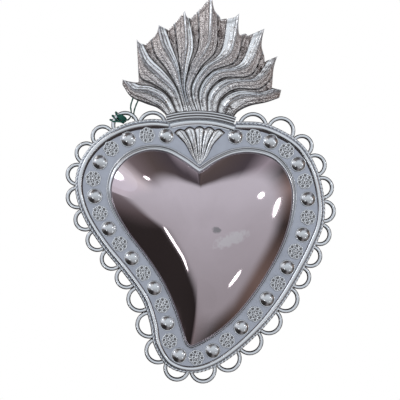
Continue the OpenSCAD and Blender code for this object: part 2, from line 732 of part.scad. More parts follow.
back_plate();
side_wall();
border_plate();
dome();
bezel();
domed_studs();
rosettes();
rim_roll();
rim_rope();
scallop_gallery();
collar_band();
collar_bead();
palmette_fan();
flame_front();
flame_back();
hanger_strap();
hanger_ring();
tag_thread();
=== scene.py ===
import math

import bpy
import numpy as np
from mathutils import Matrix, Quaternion, Vector


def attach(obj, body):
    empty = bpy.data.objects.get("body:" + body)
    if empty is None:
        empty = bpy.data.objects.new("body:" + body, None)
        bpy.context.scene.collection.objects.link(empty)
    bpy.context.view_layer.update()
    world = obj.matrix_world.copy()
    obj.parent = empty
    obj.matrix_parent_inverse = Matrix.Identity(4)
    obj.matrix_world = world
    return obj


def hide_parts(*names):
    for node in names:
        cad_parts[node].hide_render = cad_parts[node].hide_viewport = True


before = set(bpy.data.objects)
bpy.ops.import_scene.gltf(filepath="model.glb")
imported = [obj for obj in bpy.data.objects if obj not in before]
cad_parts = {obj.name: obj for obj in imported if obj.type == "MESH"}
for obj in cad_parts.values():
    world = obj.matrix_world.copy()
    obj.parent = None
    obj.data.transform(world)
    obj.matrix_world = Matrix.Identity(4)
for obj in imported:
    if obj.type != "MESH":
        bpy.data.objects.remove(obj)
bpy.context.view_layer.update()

# Sizes are in millimetres, flat on the wall as in the frame's source: x to the right, y up, w outwards
MM = 0.001
HEART_W, HEART_H = 123, 124.5
BODY_D, SHEET_T = 6.4, 0.8
FRONT_LEVEL = BODY_D + SHEET_T
WALL_TOP = BODY_D - SHEET_T
SOLDER_GAP = 0.05
# Edges that turn by more than this angle are shaded sharp
SHARP_FROM = 70

# The two drawings: the heart on 100 by 100 about its middle, and the crest on 100 by 100 over the collar
RIM_SHAPE = [(14.6, 49.2), (26.8, 48.2), (39.8, 41.2), (46.6, 31), (49.6, 18.6), (49.2, 9), (46, 0.6),
             (40.9, -9.4), (34.1, -20.7), (26, -31.1), (16.3, -40.4), (6.5, -47.2), (-3.3, -50),
             (-12.2, -47.6), (-17.5, -40), (-19.2, -31.1), (-22.6, -21.1), (-29.8, -10.8), (-39, 0.4),
             (-46.3, 11.8), (-49.8, 23.5), (-47.6, 34), (-40.7, 42.6), (-30.9, 48), (-21.1, 50),
             (-12.6, 49.6)]
DOME_SHAPE = [(-0.2, 32.4), (5.7, 36.2), (13, 39.2), (21.1, 39.9), (29.7, 37.7), (35.8, 32.2), (39, 24),
              (38.8, 15), (36, 4.4), (30.6, -7), (23.2, -18.7), (15, -28.7), (6.5, -35.9), (-0.8, -40),
              (-4.1, -40.8), (-6.3, -38.8), (-8.1, -33.5), (-11.2, -24.3), (-15.9, -14.3), (-22.8, -4),
              (-30.9, 6.2), (-36.4, 15.5), (-38, 23.9), (-35.4, 32.1), (-29.3, 38), (-21.1, 40.8),
              (-13, 40), (-5.9, 36.4)]
DOME_MIDDLE = (0, 9)
TONGUE_RIDGES = [
    [(-16.4, 0.8), (-23.3, 14), (-32.7, 20.7), (-42.1, 22.7), (-48.4, 31.4)],
    [(-10.7, 1.2), (-16.4, 21.5), (-26.4, 33.9), (-35.2, 46.3), (-39.6, 64.5)],
    [(-7.6, 1.6), (-11.9, 24.8), (-15.7, 43), (-22.6, 59.5), (-25.8, 76)],
    [(-5, 2), (-10.1, 23.1), (-10.1, 43), (-8.2, 62.8), (-9.4, 87.6)],
    [(-2.5, 2), (-7.9, 23.1), (-2.5, 43), (5.7, 62.8), (7.5, 100)],
    [(0, 2), (-3.1, 23.1), (5, 40.5), (18.9, 54.5), (24.5, 85.5)],
    [(2.5, 2), (1.9, 21.5), (10.7, 36.4), (29.6, 43), (40.3, 73.1)],
    [(6.9, 1.6), (8.8, 18.2), (19.5, 28.9), (37.1, 32.2), (48.4, 50.4)],
    [(13.8, 0.4), (17.6, 10.7), (26.4, 17.4), (39, 18.2), (50.9, 22.8)]]
TONGUE_NOTCHES = [(-38.4, 28.1), (-34.3, 60), (-19.8, 72.5), (-6, 81.5), (13.2, 81), (29.9, 67.5),
                  (40.6, 46.4), (45, 24.8)]
CREST_LEFT = [(-19.5, 0), (-26.4, 7.9), (-34.6, 12), (-43.4, 17.4), (-48.7, 27.3)]
CREST_RIGHT = [(20.1, -1.7), (23.9, 5), (31.4, 9.9), (41.5, 12.8), (49.7, 16.5)]
CREST_W, CREST_H = 79.5, 60.5
CREST_Y = HEART_H / 2 + 2

# Dome and the moulding round its foot; the dome's outline is evened out over a share of its length
DOME_RISE, DOME_FLATNESS = 20, 2.8
DOME_SOFTENING, DOME_CENTRE = 3 / 32, 0.004
BEZEL_W, BEZEL_FLANK_W, BEZEL_H = 2.6, 1.0, 1.3
BEZEL_WIDTHS = [(0, BEZEL_W), (0.12, BEZEL_W), (0.3, BEZEL_FLANK_W), (0.7, BEZEL_FLANK_W), (0.85, BEZEL_W),
                (1, BEZEL_W)]

# Rim roll with a thin strip inside it that is painted dark all over as a shadow line, and the twisted wire
# outside it
ROLL_W, ROLL_H, ROLL_MARGIN, ROLL_FULLNESS = 2.0, 1.4, 0.15, 0.85
SHADOW_STRIP_H, SHADOW_STRIP_LAP = 0.04, 0.1
SHADOW_STRIP_WIDTHS = [(0, 0.3), (0.02, 1.1), (0.05, 1), (0.12, 0.5), (0.2, 0.25), (0.78, 0.25), (0.86, 0.8),
               (0.93, 1.2), (0.985, 1.2), (1, 0.3)]
ROPE_D = 1.5

# Scalloped strip: its loops, their spots along the strip, how low the first and the last one are, and by how
# many degrees a loop's wire stops short of the strip at each end
STRIP_W, STRIP_CHAMFER = 1.7, (0.2, 0.25)
LOOP_N, LOOP_WIRE_W, LOOP_LAP, LOOP_TRIM, LOOP_CROWN_H = 28, 2.0, 0.1, 0.06, 0.6
GALLERY_LOW, GALLERY_HIGH = 1.85, 4.05
LOOP_STATIONS = [(0, 0.004), (0.07, 0.083), (0.32, 0.312), (0.64, 0.655), (0.93, 0.92), (1, 0.996)]
LOOP_FLATNESS = {0: 0.73, LOOP_N - 1: 0.68}
LOOP_END_ANGLE = 6
LOOP_STEPS = 33

# Row of studs and rosettes: how far further in it runs than beside the roll, and its spots along the rim
ROW_GAP = 0.85
ROW_SLACK = [(0, 0.1), (0.07, 0), (0.12, 0), (0.2, 0.8), (0.3, 0.1), (0.42, 0.6), (0.52, 0), (0.6, 1),
             (0.68, 0.4), (0.76, 0.5), (0.8, 1.5), (0.87, 1.2), (0.91, 0.3), (1, 0.3)]
ROW_STATIONS = [(0, 0.001), (0.12, 0.118), (0.32, 0.3155), (0.44, 0.4402), (0.59, 0.585), (0.765, 0.7627),
                (0.91, 0.9025), (1, 0.997)]
STUD_D, STUD_H = 7.8, 2.8
# Turned profiles of studs and rosettes, as radius and level, with the painted shade on each of their points
STUD_LIP = [(3.9, 0), (3.9, 0.38), (3.85, 0.58), (3.75, 0.73), (3.63, 0.75), (3.53, 0.66), (3.46, 0.45),
            (3.42, 0.4)]
STUD_BALL_R, STUD_BALL_FOOT, STUD_BALL_ANGLE, STUD_BALL_POINTS = 3.4, 0.5, 1.5, 16
STUD_TOP_R = 0.03
# Painted shade of the stud's points: dark round the lip's foot and in the groove, lighter over the ball
STUD_PAINTED_SHADE = [0.8, 0.3, 0, 0, 0, 0, 0.4, 0.8, 0.8, *[0.2] * STUD_BALL_POINTS]
ROSETTE_D = 8.2
ROSETTE_PROFILE = [(3.85, 0), (3.85, 0.3), (3.6, 0.42), (3.3, 0.3), (1, 0.3), (0.75, 0.35), (0.6, 0.9),
                   (0.35, 1.3), (0.03, 1.45)]
# Painted shade of the rosette's points: dark round its foot, over the disc between the curls and at the
# knob's foot
ROSETTE_PAINTED_SHADE = [1, 0, 0, 0.8, 0.8, 0.8, 0.3, 0, 0]
# Curls of a rosette: how many, their ring's radius, their own radius and level, how drawn out, and their
# wire's radius
ROSETTE_CURLS = [(7, 2.86, 0.95, 0.55, 1, 0.27), (4, 1.2, 0.6, 0.75, 1.2, 0.22)]
# From one rosette to the next, the curls turn on by this share of the angle between two of them
ROSETTE_TURN = 0.37

# Collar, bent about a point below it, and the angles at its pieces' ends
COLLAR_MIDDLE = np.array([-1.5, 8.5])
COLLAR_R, COLLAR_GROOVE_W, COLLAR_GROOVE_H = 54, 1.2, 0.12
COLLAR_BAND_W, COLLAR_BAND_H, BAND_FOOT_W = 4, 3, 1.4
BAND_LINE_R, BAND_LINE_PLACES = 0.4, (0.82, 0.5, 0.18)
LIP_LEVEL, LIP_CHAMFER, LINE_DIP = 1.41, 0.15, 0.1
BEAD_MIDDLE, BEAD_HALF_W, BEAD_H = -0.35, 1.25, 1.2
BEAD_ENDS, BAND_ENDS, TAB_ENDS = (69.7, 104.4), (70.7, 105.4), (72, 103.6)
COLLAR_STEPS = 61
TAB_R = (52, 60)

# Fan: its point, its size, and its half width along its length as shares
FAN_POINT = np.array([-0.246, 41.248])
FAN_L, FAN_W, FAN_H, FAN_N = 18.952, 25.6, 1.7, 5
FAN_SAG, FAN_NOTCH, FAN_EDGE_H = 2.2, 1.2, 0.5
FAN_SPREAD = [(0, 0.025), (0.12, 0.1), (0.24, 0.155), (0.37, 0.2), (0.51, 0.245), (0.62, 0.285),
              (0.73, 0.34), (0.87, 0.42), (1, 0.5)]
FAN_ROWS, FLUTE_COLUMNS = 40, 24
# A flute's shape: shares of its height in the swell, in the lines beside its middle and in the split between
# them, the distance of these lines from the middle, and how wide lines and split are
FLUTE_SWELL, FLUTE_LINE, FLUTE_SPLIT = 0.85, 0.15, 0.3
FLUTE_LINE_PLACE, FLUTE_LINE_W, FLUTE_SPLIT_W = 0.34, 0.05, 0.07
# How dark the painted shade in the split and in the valleys between the flutes is, how wide these are, and
# where the painted shade at the end starts
SPLIT_SHADE, VALLEY_SHADE, VALLEY_SHADE_W, END_SHADE_FROM, END_SHADE_L = 0.6, 1.1, 0.13, 0.93, 0.04

# Flames: how high ridges and creases stand along their length, and by what share of the length the halves of
# the tongues are drawn in at their upper edge; the scale brings the curve across a half to 1, and the power
# keeps it near that edge
RIDGE_H, CREASE_H = 4, 1
RIDGE_RISE = [(0, 0.2), (0.09, 0.34), (0.25, 0.9), (0.5, 1), (0.8, 0.85), (1, 0.45)]
CREASE_RISE = [(0, 0.7), (0.2, 0.9), (0.6, 0.7), (1, 0.35)]
EDGE_DRAWS = {1: 0.02, 3: 0.03, 4: 0.05, 7: 0.03, 9: 0.04, 10: 0.015, 11: 0.09, 13: 0.05, 15: 0.03}
DRAW_SCALE, DRAW_POWER = 27 / 4, 6
FLAME_STEPS, FLAME_COLUMNS = 24, 24
# Where along a tongue its upper part and its cut edge start, and how soon the edge loses its painted shade
# and its matting
UPPER_FROM, CUT_FROM, CUT_L = 0.3, 0.985, 0.01
# Across half a tongue, from its crease at 0 to its ridge at 1: the valley's width at the crest's sides, low
# on the crest and gained further up, the width of the step out of it, and the place and width of its lines
# and its crown
EDGE_VALLEY_W, VALLEY_W, VALLEY_GROWTH = 0.02, 0.07, 0.27
FOOT_W = 0.1
LINE_PLACE, LINE_GROWTH, LINE_STEP, LINE_W, SECOND_LINE_W = 0.3, 0.35, 0.13, 0.04, 0.035
CROWN_W = 0.07
# Shares of the height that the step, the slope and the crown give, the valley's waves, and for the sides
# towards and away from the crest's middle how hollow the slope is and how high its lines are
FOOT_LIFT, SLOPE_LIFT, CROWN_LIFT = 0.28, 0.5, 0.22
WAVE_N, WAVE_H = 3, 0.2
INNER_SIDE, OUTER_SIDE = (2.2, 0.1), (0.9, 0.17)
# The second line's height and the painted shade, as shares: along the creases, beside a line, beside the
# crown, across the upper edge and on the valley's floor, each with its place, width or loss further up
SECOND_LINE_SHARE = 0.7
SEAM_SHADE_W, SEAM_SHADE_LOSS = 0.13, 0.05
LINE_SHADE, LINE_SHADE_STEP, LINE_SHADE_W = 0.6, 0.08, 0.03
CROWN_SHADE, CROWN_SHADE_PLACE, CROWN_SHADE_W = 0.8, 0.83, 0.05
EDGE_SHADE, EDGE_SHADE_PLACE, EDGE_SHADE_L = 0.5, 0.97, 0.01
FLOOR_SHADE, FLOOR_SHADE_LOSS, FLOOR_SHADE_W = 0.9, 0.85, 0.04
# Where a stippled band ends beside the ridge, and how strong it is low on the crest
BAND_END, LOW_BAND = 0.85, 0.2

# Thread: its loose end, its route behind the crest, and the first turns of its knot round a scallop's wire
THREAD_D = 0.8
THREAD_TAIL = [(-38, 62.6, 3.2), (-38.9, 62.4, 4.3), (-40.4, 62.5, 4.9)]
THREAD_ROUTE = [
    (-39.8, 65.6, 1), (-38.9, 64.3, 1.1), (-37.6, 63.6, 1.2), (-36.3, 63.8, 1.2), (-35.4, 64.8, 1.2),
    (-34.8, 66.1, 1.2), (-34.7, 67.5, 1.3), (-34.9, 68.8, 1.6), (-35, 70, 2.6), (-34.7, 71.5, 3.7),
    (-34, 73.3, 4.6), (-33.3, 75.2, 5.3), (-32.5, 77.2, 5.7), (-31.8, 79.2, 5.8), (-31, 81.2, 5.8),
    (-30.1, 83.1, 5.8), (-28.9, 84.8, 5.8), (-27.2, 85.6, 5.8), (-25.8, 84.6, 5.8), (-25.6, 82.7, 5.8),
    (-26.4, 80.8, 5.8), (-27.4, 79, 5.8), (-28.6, 77.2, 5.7), (-29.8, 75.4, 5.3), (-30.9, 73.6, 4.7),
    (-31.8, 71.8, 3.9), (-32.6, 70.1, 2.9), (-33.2, 68.5, 1.8), (-33.5, 67, 1.3), (-33.8, 65.5, 1.25),
    (-34.3, 64.4, 1.3)]
THREAD_STEPS = 420
KNOT_LOOP, KNOT_START, KNOT_TURNS, KNOT_GAP, KNOT_STEPS = 26, 165, 2.5, 0.45, 24
# More turns over the knot: their middle, how far they slant and stand out, and each turn's angle, half width
# and place beside the middle
KNOT_MIDDLE, KNOT_SLANT, KNOT_DEPTH = np.array([-39.6, 64.2, 3.1]), 0.6, 1.5
KNOT_WRAPS = [(-35, 2.5, 0.2), (-28, 2.2, 0.9), (-42, 2.3, -0.7), (-20, 2, 0.1), (-60, 1.4, 0.4),
              (35, 1.3, -0.6)]

# Noise scales of the plated metal, the share of its colour where it is worn, the height of its punched dots
# and dents over its grain, what matting adds to its roughness, and the bumps' depth in metres
WEAR_SCALE, DOT_SCALE, DENT_SCALE = 160, 1300, 260
WORN_SHARE = 0.86
DOT_LIFT, DENT_LIFT = 6, 5
MATTED_ROUGHNESS = 0.12
METAL_BUMP, MIRROR_BUMP, THREAD_BUMP = 0.0004, 0.001, 0.0002
# How far the normals of pressed sheet and of the dome are turned towards the viewer
PRESSED_FLATNESS, MIRROR_FLATNESS = 0.42, 0.4
# Painted reflections on the dome, a dark spot and a broad pale patch: middle, half sizes, turn, colour and
# strength, and how far they reach in depth
DOME_PAINTED_REFLECTIONS = [((8, 8.8), (4.2, 3), 10, (0.2, 0.2, 0.21), 0.75),
           ((15, 4.5), (17, 6), -20, (0.75, 0.74, 0.76), 0.45)]
PAINTED_REFLECTION_DEPTH = 400


def on_heart(points):
    """Heart drawing to millimetres."""
    return np.array(points, float) * [HEART_W / 100, HEART_H / 100]


def on_crest(points):
    """Crest drawing to millimetres."""
    return np.array(points, float) * [CREST_W / 100, CREST_H / 100] + [0, CREST_Y]


def smooth(points, steps):
    """Smooth line through the points, with steps between each two."""
    p = np.array(points, float)
    q = np.vstack([2 * p[0] - p[1], p, 2 * p[-1] - p[-2]])
    t = (np.arange(steps) / steps)[:, None]
    parts = [0.5 * (2 * b + (c - a) * t + (2 * a - 5 * b + 4 * c - d) * t**2
                    + (3 * b - a - 3 * c + d) * t**3)
             for a, b, c, d in zip(q, q[1:], q[2:], q[3:])]
    return np.vstack([*parts, p[-1:]])


def run(line):
    """Length of the line up to each of its points."""
    return np.concatenate([[0], np.cumsum(np.linalg.norm(np.diff(line, axis=0), axis=1))])


def spots(line, shares):
    """Points of the line at shares of its length."""
    length = run(line)
    at = np.array(shares) * length[-1]
    return np.stack([np.interp(at, length, line[:, k]) for k in range(line.shape[1])], axis=1)


def even(line, steps):
    """The line with steps of the same length."""
    return spots(line, np.arange(steps + 1) / steps)


def shifts(line, closed=False):
    """How far each point moves when the line moves 1 to its left."""
    edges = np.diff(np.vstack([line, line[:1]]) if closed else line, axis=0)
    normals = np.stack([-edges[:, 1], edges[:, 0]], axis=1) / np.linalg.norm(edges, axis=1)[:, None]
    if closed:
        before, after = np.roll(normals, 1, axis=0), normals
    else:
        before, after = np.vstack([normals[:1], normals]), np.vstack([normals, normals[-1:]])
    return (before + after) / (1 + np.sum(before * after, axis=1))[:, None]


def lookup(table, at):
    """Value of a table of pairs at a place, or at many."""
    return np.interp(at, [k for k, _ in table], [v for _, v in table])


def rise_at(values, middle, width):
    """Soft rise to 1 where the values reach the middle."""
    return np.exp(-(((values - middle) / width) ** 2))


def polar(radius, degrees):
    """Point or points at a radius and an angle."""
    angle = np.radians(degrees)
    return np.stack([radius * np.cos(angle), radius * np.sin(angle)], axis=-1)


def upright(points):
    """Flat millimetres to the frame's metres."""
    p = np.asarray(points, float)
    return np.stack([p[..., 0], -p[..., 2], p[..., 1]], axis=-1) * MM


# Camera: face on, at the photograph's 0.5 mm a pixel, with the crest's tip just over the upper edge
VIEW_W = 200
VIEW_RANGE = 450
VIEW_HEIGHT = 23.25
SENSOR_W = 36
camera = bpy.data.objects.new("camera", bpy.data.cameras.new("camera"))
bpy.context.scene.collection.objects.link(camera)
bpy.context.scene.camera = camera
camera.data.sensor_width = SENSOR_W
camera.data.lens = SENSOR_W * VIEW_RANGE / VIEW_W
camera.location = upright((0, VIEW_HEIGHT, BODY_D + VIEW_RANGE))
camera.rotation_euler = (math.radians(90), 0, 0)


def node_adder(tree):
    """Helper that adds a node with its settings, and its inputs as values or as other nodes' outputs."""
    def add(kind, inputs=None, **settings):
        node = tree.nodes.new(kind)
        for key, value in settings.items():
            setattr(node, key, value)
        for key, value in (inputs or {}).items():
            if isinstance(value, bpy.types.NodeSocket):
                tree.links.new(value, node.inputs[key])
            else:
                node.inputs[key].default_value = value
        return node

    return add


def new_material(name):
    """Material with its shader, and helpers that add a node and that link an output to the shader."""
    material = bpy.data.materials.new(name)
    material.use_nodes = True
    tree = material.node_tree
    shader = tree.nodes["Principled BSDF"]

    def link(output, socket):
        tree.links.new(output, shader.inputs[socket])

    return material, shader, node_adder(tree), link


def noise(add, place, scale, detail, roughness=0.5, distortion=0.0):
    """Noise over a place."""
    inputs = {"Vector": place, "Scale": scale, "Detail": detail, "Roughness": roughness,
              "Distortion": distortion}
    return add("ShaderNodeTexNoise", inputs).outputs["Fac"]


def attribute(add, name):
    """Number that the mesh keeps on its points."""
    return add("ShaderNodeAttribute", attribute_name=name).outputs["Fac"]


def calculated(add, operation, *values):
    """Result of an operation on values."""
    return add("ShaderNodeMath", dict(enumerate(values)), operation=operation).outputs["Value"]


def ranged(add, value, low, high, to_low=0.0, to_high=1.0, steps="LINEAR"):
    """Value moved from one range to another."""
    inputs = {"Value": value, "From Min": low, "From Max": high, "To Min": to_low, "To Max": to_high}
    return add("ShaderNodeMapRange", inputs, interpolation_type=steps).outputs["Result"]


def mixed(add, share, first, second):
    """Colour between two colours."""
    a, b = [end if isinstance(end, bpy.types.NodeSocket) else (*end, 1) for end in (first, second)]
    return add("ShaderNodeMix", {"Factor": share, "A": a, "B": b}, data_type="RGBA").outputs["Result"]


def ramp(add, value, stops):
    """Colour ramp with the given stops over a value."""
    node = add("ShaderNodeValToRGB", {"Fac": value})
    elements = node.color_ramp.elements
    while len(elements) < len(stops):
        elements.new(0.5)
    for element, (at, colour) in zip(elements, stops):
        element.position = at
        element.color = (*colour, 1)
    return node.outputs["Color"]


def bumped(add, height, strength, depth):
    """Normal with bumps of a height."""
    inputs = {"Height": height, "Strength": strength, "Distance": depth}
    return add("ShaderNodeBump", inputs).outputs["Normal"]


def flattened(add, normal, share):
    """Normal turned towards the viewer by a share, as on softly pressed sheet."""
    turned = add("ShaderNodeVectorMath", {0: normal, 1: (1 - share,) * 3, 2: (0, -share, 0)},
                 operation="MULTIPLY_ADD").outputs["Vector"]
    return add("ShaderNodeVectorMath", {0: turned}, operation="NORMALIZE").outputs["Vector"]


def plating(name, colour, painted_dark, rough, rough_worn, grain=900, bump=0.04, matted_colour=None, flatness=0.0):
    """Plated metal with soft wear, painted darker as shade where the relief is deep, and punched dots with
    painted shade in them where it is matted.
    """
    material, shader, add, link = new_material(name)
    shader.inputs["Metallic"].default_value = 1
    place = add("ShaderNodeTexCoord").outputs["Object"]
    wear = noise(add, place, WEAR_SCALE, 6, 0.6)
    height = noise(add, place, grain, 4, 0.7)
    # Painted shade: how dark each point is drawn where the relief is deep
    deep = attribute(add, "deep")
    tone = mixed(add, wear, colour, [WORN_SHARE * c for c in colour])
    roughness = ranged(add, wear, 0.3, 0.7, rough, rough_worn)
    if matted_colour:
        matted = attribute(add, "matted")
        tone = mixed(add, matted, tone, matted_colour)
        dots = add("ShaderNodeTexVoronoi", {"Vector": place, "Scale": DOT_SCALE, "Randomness": 0.6})
        dots = dots.outputs["Distance"]
        # Painted shade in the punched dots of the matted bands
        painted_pit_shade = calculated(add, "MULTIPLY", ranged(add, dots, 0.25, 0.45, 0.5, 0), matted)
        deep = calculated(add, "MAXIMUM", deep, painted_pit_shade)
        height = calculated(add, "MULTIPLY_ADD", calculated(add, "MULTIPLY", dots, matted), DOT_LIFT, height)
        height = calculated(add, "MULTIPLY_ADD", noise(add, place, DENT_SCALE, 1), DENT_LIFT, height)
        roughness = calculated(add, "MULTIPLY_ADD", matted, MATTED_ROUGHNESS, roughness)
    link(mixed(add, deep, tone, painted_dark), "Base Color")
    link(roughness, "Roughness")
    normal = bumped(add, height, bump, METAL_BUMP)
    link(flattened(add, normal, flatness) if flatness else normal, "Normal")
    return material


def mirror_plating():
    """Polished plating, cloudy and softly rippled, with a faint dark reflection and a faint pale one painted
    on.
    """
    material, shader, add, link = new_material("mirror_plating")
    shader.inputs["Metallic"].default_value = 1
    place = add("ShaderNodeTexCoord").outputs["Object"]
    cloud = noise(add, place, 35, 5, distortion=1.2)
    tone = ramp(add, cloud, [(0.3, (0.59, 0.51, 0.55)), (0.7, (0.545, 0.47, 0.505))])
    flecks = noise(add, place, 420, 5, 0.75)
    # Painted reflections: each mottled spot mixes its colour into the plating's
    for middle, half_sizes, turned, colour, share in DOME_PAINTED_REFLECTIONS:
        inside = add("ShaderNodeMapping", {"Vector": place, "Location": tuple(upright((*middle, 0))),
                                           "Rotation": (0, math.radians(turned), 0),
                                           "Scale": tuple(upright((*half_sizes, -PAINTED_REFLECTION_DEPTH)))},
                     vector_type="TEXTURE").outputs["Vector"]
        ball = add("ShaderNodeTexGradient", {"Vector": inside}, gradient_type="SPHERICAL").outputs["Fac"]
        spot = calculated(add, "MULTIPLY", ball, flecks)
        tone = mixed(add, ranged(add, spot, 0.2, 0.32, 0, share), tone, colour)
    link(tone, "Base Color")
    link(ranged(add, cloud, 0.35, 0.75, 0.035, 0.09), "Roughness")
    ripple = bumped(add, noise(add, place, 60, 3), 0.03, MIRROR_BUMP)
    link(flattened(add, ripple, MIRROR_FLATNESS), "Normal")
    return material


def thread_material():
    """Twisted green thread."""
    material, shader, add, link = new_material("thread")
    place = add("ShaderNodeTexCoord").outputs["Object"]
    fibres = add("ShaderNodeTexWave", {"Vector": place, "Scale": 900, "Distortion": 2, "Detail": 3},
                 bands_direction="DIAGONAL").outputs["Fac"]
    link(ramp(add, fibres, [(0, (0.004, 0.045, 0.035)), (1, (0.012, 0.12, 0.09))]), "Base Color")
    shader.inputs["Roughness"].default_value = 0.85
    link(bumped(add, fibres, 0.6, THREAD_BUMP), "Normal")
    return material


# Colours of plated metal and of its painted shade; each material below gives this pair in turn
PLATE, PLATE_SHADE_COLOUR = (0.82, 0.85, 0.89), (0.05, 0.04, 0.04)
polished = plating("polished", PLATE, PLATE_SHADE_COLOUR, 0.08, 0.2)
pressed = plating("pressed", PLATE, PLATE_SHADE_COLOUR, 0.08, 0.2, flatness=PRESSED_FLATNESS)
embossed = plating("embossed", (0.95, 0.97, 1), (0.035, 0.022, 0.018), 0.06, 0.16, bump=0.4,
                   matted_colour=(0.82, 0.75, 0.73))
satin = plating("satin_ground", (0.53, 0.56, 0.64), (0.08, 0.07, 0.08), 0.36, 0.5, grain=2500, bump=0.12)
mirror = mirror_plating()
green = thread_material()


def dress(obj, material, body="heart", stands_for=()):
    """Gives a new piece its material and its body, and hides the nodes that it stands for."""
    obj.data.materials.append(material)
    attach(obj, body)
    if stands_for:
        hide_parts(*stands_for)


def mesh_object(name, points, faces, attributes=None):
    """Mesh from flat millimetre points, smooth, with attributes on its points."""
    mesh = bpy.data.meshes.new(name)
    mesh.from_pydata(upright(points).reshape(-1, 3).tolist(), [], faces)
    for key, values in (attributes or {}).items():
        layer = mesh.attributes.new(key, "FLOAT", "POINT")
        layer.data.foreach_set("value", np.asarray(values, np.float32).ravel())
    mesh.polygons.foreach_set("use_smooth", [True] * len(mesh.polygons))
    mesh.set_sharp_from_angle(angle=math.radians(SHARP_FROM))
    mesh.update()
    obj = bpy.data.objects.new(name, mesh)
    bpy.context.scene.collection.objects.link(obj)
    return obj


def grid_faces(rows, columns, closed_rows=False, closed_columns=False):
    """Quads of a grid of points, whose rows or columns may run round."""
    i, j = np.meshgrid(np.arange(rows if closed_rows else rows - 1),
                       np.arange(columns if closed_columns else columns - 1), indexing="ij")
    a = i * columns + j
    b = ((i + 1) % rows) * columns + j
    c = ((i + 1) % rows) * columns + (j + 1) % columns
    d = i * columns + (j + 1) % columns
    return np.stack([a, d, c, b], axis=-1).reshape(-1, 4).tolist()


def skin(rings, closed=False):
    """Points and faces of a closed skin over rings, which run anticlockwise seen from the last one."""
    rings = np.asarray(rings, float)
    n, m = rings.shape[:2]
    faces = grid_faces(n, m, closed_rows=closed, closed_columns=True)
    if not closed:
        faces += [list(range(m - 1, -1, -1)), [(n - 1) * m + j for j in range(m)]]
    return rings.reshape(-1, 3), faces


def relief(points, base):
    """Points and faces of a solid between a grid of points and a flat base."""
    rows, columns = points.shape[:2]
    edge = [*range(columns), *(i * columns + columns - 1 for i in range(1, rows)),
            *((rows - 1) * columns + j for j in range(columns - 2, -1, -1)),
            *(i * columns for i in range(rows - 2, 0, -1))]
    top = points.reshape(-1, 3)
    low = top[edge].copy()
    low[:, 2] = base
    first, n = len(top), len(edge)
    walls = [[edge[k], first + k, first + (k + 1) % n, edge[(k + 1) % n]] for k in range(n)]
    foot = [first + k for k in range(n - 1, -1, -1)]
    return np.vstack([top, low]), [*grid_faces(rows, columns), *walls, foot]


def swept(line, shift, section):
    """Skin of a section along a flat line, u to the line's left and v out of the wall, anticlockwise."""
    u, v = np.array(section, float).T
    flat = line[:, None] + u[None, :, None] * shift[:, None]
    return skin(np.concatenate([flat, np.broadcast_to(v[None, :, None], (*flat.shape[:2], 1))], axis=2))


def several(parts):
    """Joins the points and faces of several solids."""
    points, faces, first = [], [], 0
    for p, f in parts:
        points.append(p)
        faces += [[first + k for k in face] for face in f]
        first += len(p)
    return np.vstack(points), faces


def wire_rings(path, radius, sides, lobes=0, depth=0.0, turn=0.0):
    """Rings round a path in space; with lobes the section is a strand's, turned from ring to ring."""
    path = np.asarray(path, float)
    ahead = np.gradient(path, axis=0)
    ahead /= np.linalg.norm(ahead, axis=1)[:, None]
    side = np.cross(ahead, [0, 0, 1])
    side /= np.linalg.norm(side, axis=1)[:, None]
    up = np.cross(ahead, side)
    angle = 2 * math.pi * np.arange(sides) / sides
    twist = np.radians(turn) * np.arange(len(path))
    swell = 1 - depth * (1 - np.abs(np.cos(lobes * (angle[None] - twist[:, None]) / 2))) if lobes else 1.0
    r = radius * swell * np.ones((len(path), sides))
    return (path[:, None] + (r * np.cos(angle))[..., None] * side[:, None]
            + (r * np.sin(angle))[..., None] * up[:, None])


# Lines on the heart that the pieces share
SMOOTH_STEPS, RIM_STEPS, DOME_STEPS = 24, 720, 480
rim_line = even(smooth(on_heart(RIM_SHAPE), SMOOTH_STEPS), RIM_STEPS)
rim_shift = shifts(rim_line)
rim_shares = np.linspace(0, 1, len(rim_line))
strip_line = rim_line + STRIP_W * rim_shift
dome_line = even(smooth(on_heart(DOME_SHAPE + DOME_SHAPE[:1]), SMOOTH_STEPS), DOME_STEPS)[:-1]
dome_shift = shifts(dome_line, closed=True)
bezel_widths = lookup(BEZEL_WIDTHS, np.arange(len(dome_line)) / len(dome_line))
loop_feet = spots(strip_line, lookup(LOOP_STATIONS, np.arange(LOOP_N + 1) / LOOP_N))


def scallop(k):
    """Middle and radius of a scallop loop, and its first and last angle."""
    a, b = loop_feet[k], loop_feet[k + 1]
    half = np.linalg.norm(b - a) / 2
    rise = half * LOOP_FLATNESS.get(k, 1)
    radius = (half * half + rise * rise) / (2 * rise)
    along = (b - a) / (2 * half)
    out = np.array([-along[1], along[0]])
    middle = (a + b) / 2 - (radius - rise) * out
    ends = [math.degrees(math.atan2(*(p - middle)[::-1])) for p in (a, b)]
    return middle, radius + LOOP_LAP, ends[0] + 360 * (ends[0] < ends[1]), ends[1]


def thread_path():
    """The thread's middle: its loose end, the turns of the knot, and the bight behind the crest."""
    middle, radius, _, _ = scallop(KNOT_LOOP)
    wire_r = radius - LOOP_WIRE_W / 2
    knot_r = math.hypot(LOOP_WIRE_W, GALLERY_HIGH - GALLERY_LOW) / 2 + SOLDER_GAP + THREAD_D / 2
    step = math.degrees((THREAD_D + KNOT_GAP) / (wire_r - knot_r))
    turns = np.arange(KNOT_TURNS * KNOT_STEPS + 1) / KNOT_STEPS
    turn = np.radians(90 - 360 * turns)
    flat = middle + polar(wire_r + knot_r * np.cos(turn), KNOT_START - step * turns)
    knot = np.column_stack([flat, (GALLERY_LOW + GALLERY_HIGH) / 2 + knot_r * np.sin(turn)])
    return np.vstack([THREAD_TAIL, knot, THREAD_ROUTE])


